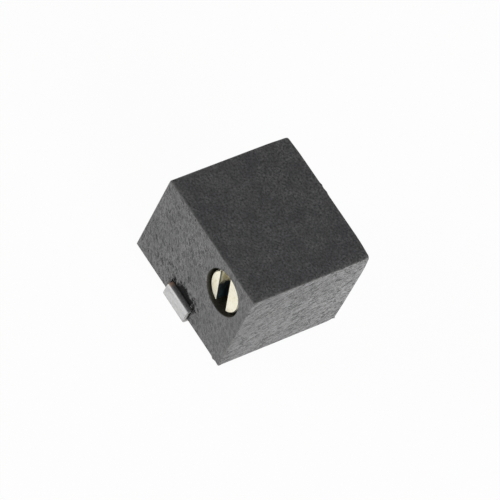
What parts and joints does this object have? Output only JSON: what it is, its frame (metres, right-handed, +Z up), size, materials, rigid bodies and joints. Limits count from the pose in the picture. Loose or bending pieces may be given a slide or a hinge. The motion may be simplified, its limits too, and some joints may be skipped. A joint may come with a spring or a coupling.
{
  "type": "trimming potentiometer",
  "caption": "Sealed trimming potentiometer for surface mounting: dark moulded box with a slotted brass worm screw in a round side hole and hooked solder leads.",
  "frame": {"origin": "on the circuit board, under the middle of the part", "axes": "+Z up from the board, -Y out of the face that holds the screw, +X to the right of that face as the user sees it"},
  "size_m": [0.005, 0.005, 0.0038],
  "materials": {
    "moulded_case": "dark grey moulding, fine matt grain with flow marks",
    "screw_brass": "turned brass, bright",
    "seal_rubber": "dark elastomer",
    "retainer_steel": "stamped spring steel",
    "wheel_plastic": "natural moulded plastic",
    "wiper_alloy": "stamped spring alloy",
    "alumina": "fired alumina, matt",
    "resistive_film": "fired cermet film",
    "conductor_film": "fired silver film",
    "tinned_lead": "matt tin over copper alloy",
    "solder": "solder",
    "base_resin": "cast resin, slightly glossy"
  },
  "bodies": {
    "case": {"housing": "moulded_case", "screw_retainer": "retainer_steel", "ceramic_substrate": "alumina", "resistive_track": "resistive_film", "collector_conductor": "conductor_film", "end_conductor_1": "conductor_film", "end_conductor_3": "conductor_film", "terminal_1": "tinned_lead", "terminal_2": "tinned_lead", "terminal_3": "tinned_lead", "solder_joint_1": "solder", "solder_joint_2": "solder", "solder_joint_3": "solder", "base_seal": "base_resin"},
    "screw": {"adjusting_screw": "screw_brass", "screw_seal": "seal_rubber"},
    "rotor": {"worm_wheel": "wheel_plastic", "wiper_spring": "wiper_alloy"}
  },
  "joints": [
    {"name": "screw_turn", "type": "hinge", "parent": "case", "child": "screw", "pos_m": [0.00127, 0, 0.00274], "axis": [0, 1, 0], "range_deg": [-2160, 2160]},
    {"name": "wiper_turn", "type": "hinge", "parent": "case", "child": "rotor", "pos_m": [-0.00026, 0.00017, 0], "axis": [0, 0, 1], "range_deg": [-144, 144]}
  ],
  "couplings": [
    {"joint": "wiper_turn", "follows": "screw_turn", "ratio": -0.066667}
  ]
}
